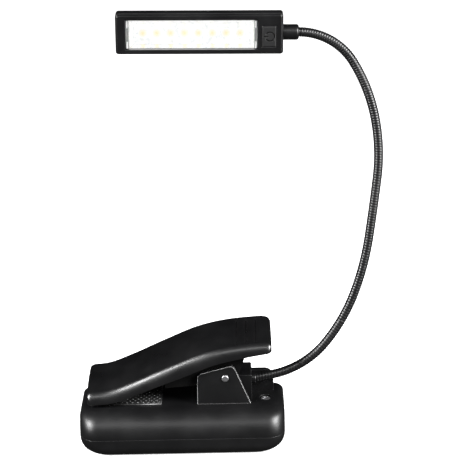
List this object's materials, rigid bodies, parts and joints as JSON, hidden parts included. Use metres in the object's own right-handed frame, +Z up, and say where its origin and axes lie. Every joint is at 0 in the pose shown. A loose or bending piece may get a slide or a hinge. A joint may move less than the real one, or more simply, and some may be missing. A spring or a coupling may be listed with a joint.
{
  "type": "clip on reading lamp",
  "caption": "Battery reading lamp with a spring clip base, a bendable gooseneck and a slim rectangular LED head.",
  "frame": {"origin": "centre of the battery box's flat bottom face", "axes": "+Z up, +X along the battery box towards the gooseneck, +Y to the back, away from the lamp's lit face"},
  "size_m": [0.1637, 0.051, 0.2315],
  "materials": {
    "black_plastic": "satin",
    "bezel_plastic": "semi gloss",
    "button_plastic": "satin",
    "sleeve_plastic": "satin",
    "neck_metal": "black coated",
    "steel": "bright",
    "clear_lens": "clear",
    "white_tray": "white",
    "led_yellow": "phosphor",
    "board_green": "solder mask",
    "switch_grey": "moulded",
    "lead_wire": "insulated",
    "rubber_pad": "dotted",
    "cell_wrap": "printed wrap without marks"
  },
  "bodies": {
    "base": {"base_leads": "lead_wire", "base_lower_shell": "black_plastic", "base_upper_shell": "black_plastic", "battery_cell_1": "cell_wrap", "battery_cell_2": "cell_wrap", "battery_cell_3": "cell_wrap", "battery_contacts": "steel", "battery_springs": "steel", "case_screw_top": "steel", "case_screws_bottom": "steel", "clip_bracket": "black_plastic", "jaw_pad": "rubber_pad", "neck_anchor_block": "black_plastic", "neck_end_ring": "neck_metal", "neck_foot": "neck_metal", "pin_clip": "steel", "pivot_pin": "steel"},
    "neck_1": {"neck_link_1": "neck_metal"},
    "neck_2": {"neck_link_2": "neck_metal"},
    "neck_3": {"neck_link_3": "neck_metal"},
    "neck_4": {"neck_link_4": "neck_metal"},
    "neck_5": {"neck_link_5": "neck_metal"},
    "neck_6": {"neck_link_6": "neck_metal"},
    "head": {"neck_link_7": "neck_metal", "neck_sleeve": "sleeve_plastic", "neck_retainer": "steel", "head_back_shell": "black_plastic", "head_bezel": "bezel_plastic", "reflector_tray": "white_tray", "lens": "clear_lens", "led_board": "board_green", "board_posts": "black_plastic", "leds": "led_yellow", "button_switch": "switch_grey", "head_leads": "lead_wire"},
    "button": {"power_button": "button_plastic"},
    "lever": {"lever": "black_plastic", "lever_pad": "rubber_pad", "torsion_spring": "steel"},
    "battery_door": {"battery_door": "black_plastic"}
  },
  "joints": [
    {"name": "neck_bend_1", "type": "hinge", "parent": "base", "child": "neck_1", "pos_m": [0.05076, 0.00575, 0.03526], "axis": [0, 0.9952, -0.0976], "range_deg": [-18, 18]},
    {"name": "neck_swing_2", "type": "hinge", "parent": "neck_1", "child": "neck_2", "pos_m": [0.07739, 0.00738, 0.05186], "axis": [-0.776, 0.0615, 0.6277], "range_deg": [-15, 15]},
    {"name": "neck_bend_3", "type": "hinge", "parent": "neck_2", "child": "neck_3", "pos_m": [0.0932, 0.01008, 0.07939], "axis": [0, 0.9952, -0.0976], "range_deg": [-18, 18]},
    {"name": "neck_swing_4", "type": "hinge", "parent": "neck_3", "child": "neck_4", "pos_m": [0.10117, 0.0131, 0.11017], "axis": [-0.989, 0.0144, 0.1471], "range_deg": [-15, 15]},
    {"name": "neck_bend_5", "type": "hinge", "parent": "neck_4", "child": "neck_5", "pos_m": [0.10546, 0.01619, 0.14173], "axis": [0, 0.9952, -0.0976], "range_deg": [-18, 18]},
    {"name": "neck_swing_6", "type": "hinge", "parent": "neck_5", "child": "neck_6", "pos_m": [0.10449, 0.0193, 0.17344], "axis": [-0.9836, -0.0176, -0.1797], "range_deg": [-15, 15]},
    {"name": "head_bend_7", "type": "hinge", "parent": "neck_6", "child": "head", "pos_m": [0.09329, 0.02221, 0.2031], "axis": [0, 0.9952, -0.0976], "range_deg": [-18, 18]},
    {"name": "lever_pivot", "type": "hinge", "parent": "base", "child": "lever", "pos_m": [0.0234, 0.0055, 0.0389], "axis": [0, 1, 0], "range_deg": [0, 25], "stiffness_Nm_per_rad": 0.12, "springref_deg": -20.05},
    {"name": "power_button_press", "type": "slide", "parent": "head", "child": "button", "axis": [0.0017, 1, 0], "range_m": [0, 0.0006], "stiffness_N_per_m": 1500, "springref_m": -0.0004},
    {"name": "battery_door_slide", "type": "slide", "parent": "base", "child": "battery_door", "axis": [-1, 0, 0], "range_m": [0, 0.03]}
  ]
}
